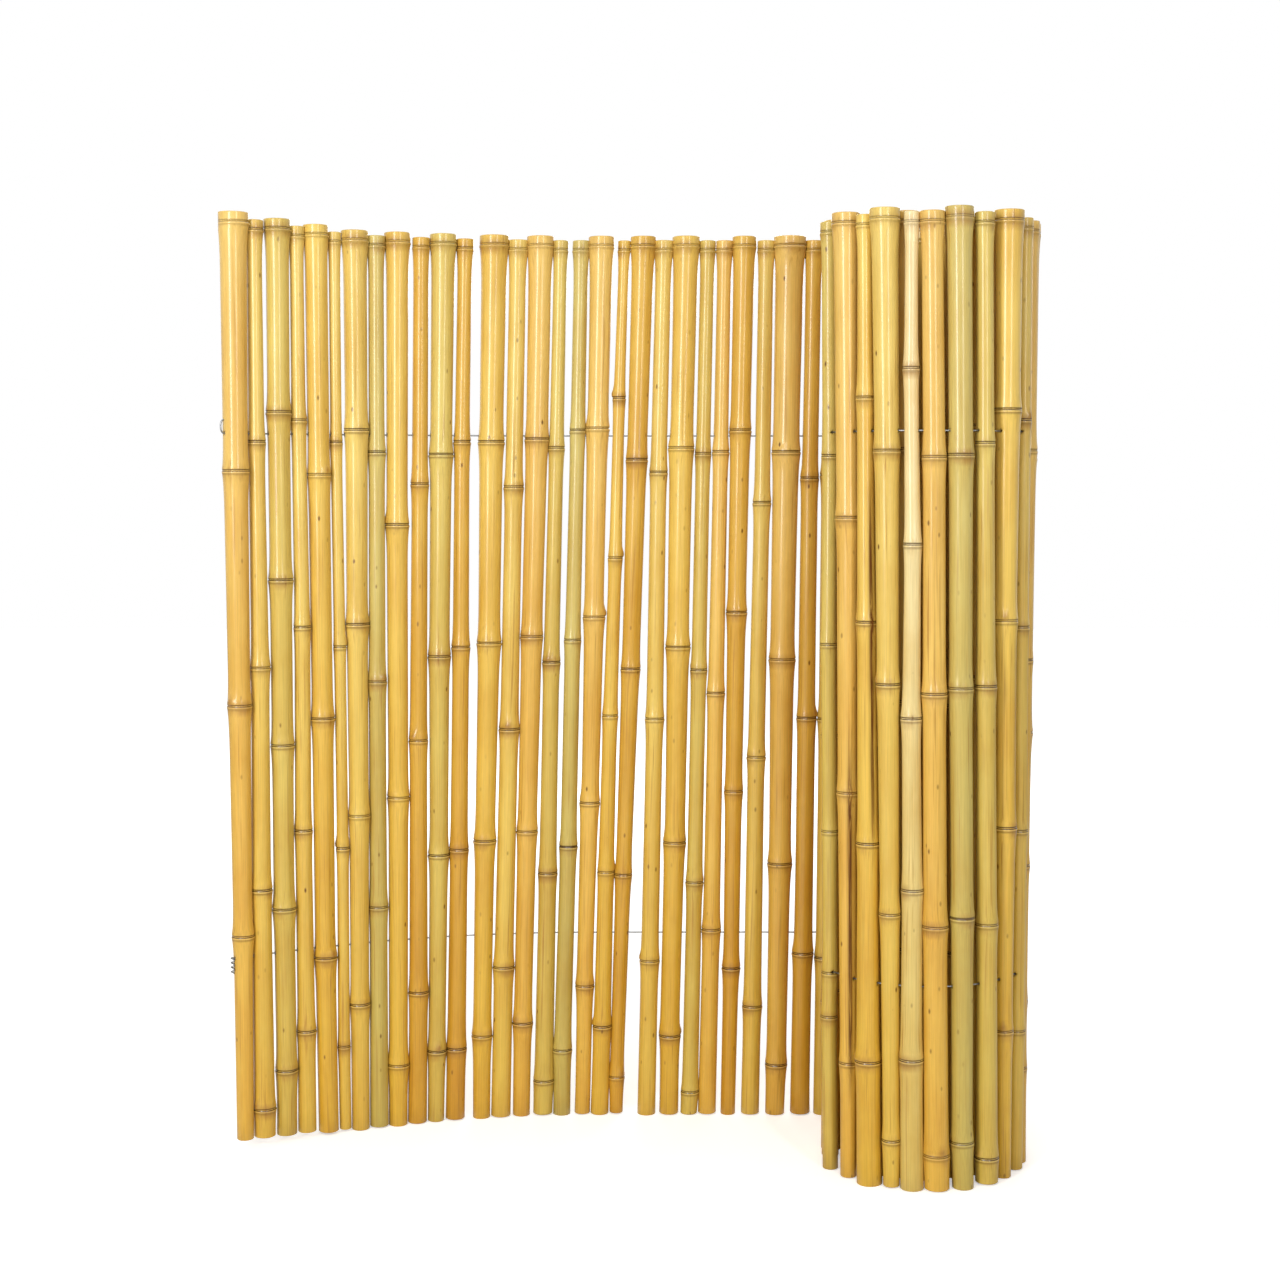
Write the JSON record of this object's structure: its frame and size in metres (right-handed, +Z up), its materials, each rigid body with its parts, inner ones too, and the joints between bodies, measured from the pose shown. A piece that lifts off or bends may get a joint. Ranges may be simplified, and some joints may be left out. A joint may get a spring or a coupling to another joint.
{
  "type": "rolled bamboo fence",
  "caption": "Roll of bamboo fence standing on end and part unrolled, with round culms threaded side by side on two galvanised wires as a garden screen.",
  "frame": {"origin": "on the ground under the middle of the fence's box", "axes": "+Z up along the culms, +X along the unrolled panel towards the roll, +Y to the panel's back"},
  "size_m": [0.7938, 0.255, 0.924],
  "materials": {
    "bamboo": "satin natural bamboo skin",
    "wire": "galvanised"
  },
  "bodies": {
    "root": {"inner_roll_poles": "bamboo", "lower_wire": "wire", "panel_pole_01": "bamboo", "panel_pole_02": "bamboo", "panel_pole_03": "bamboo", "panel_pole_04": "bamboo", "panel_pole_05": "bamboo", "panel_pole_06": "bamboo", "panel_pole_07": "bamboo", "panel_pole_08": "bamboo", "panel_pole_09": "bamboo", "panel_pole_10": "bamboo", "panel_pole_11": "bamboo", "panel_pole_12": "bamboo", "panel_pole_13": "bamboo", "panel_pole_14": "bamboo", "panel_pole_15": "bamboo", "panel_pole_16": "bamboo", "panel_pole_17": "bamboo", "panel_pole_18": "bamboo", "panel_pole_19": "bamboo", "panel_pole_20": "bamboo", "panel_pole_21": "bamboo", "panel_pole_22": "bamboo", "panel_pole_23": "bamboo", "panel_pole_24": "bamboo", "panel_pole_25": "bamboo", "panel_pole_26": "bamboo", "panel_pole_27": "bamboo", "panel_pole_28": "bamboo", "roll_pole_01": "bamboo", "roll_pole_02": "bamboo", "roll_pole_03": "bamboo", "roll_pole_04": "bamboo", "roll_pole_05": "bamboo", "roll_pole_06": "bamboo", "roll_pole_07": "bamboo", "roll_pole_08": "bamboo", "roll_pole_09": "bamboo", "roll_pole_10": "bamboo", "roll_pole_11": "bamboo", "roll_pole_12": "bamboo", "roll_pole_13": "bamboo", "roll_pole_14": "bamboo", "roll_pole_15": "bamboo", "roll_pole_16": "bamboo", "roll_pole_17": "bamboo", "roll_pole_18": "bamboo", "roll_pole_19": "bamboo", "roll_pole_20": "bamboo", "roll_pole_21": "bamboo", "roll_pole_22": "bamboo", "roll_pole_23": "bamboo", "roll_pole_24": "bamboo", "roll_pole_25": "bamboo", "roll_pole_26": "bamboo", "roll_pole_27": "bamboo", "roll_pole_28": "bamboo", "upper_wire": "wire"}
  },
  "joints": []
}
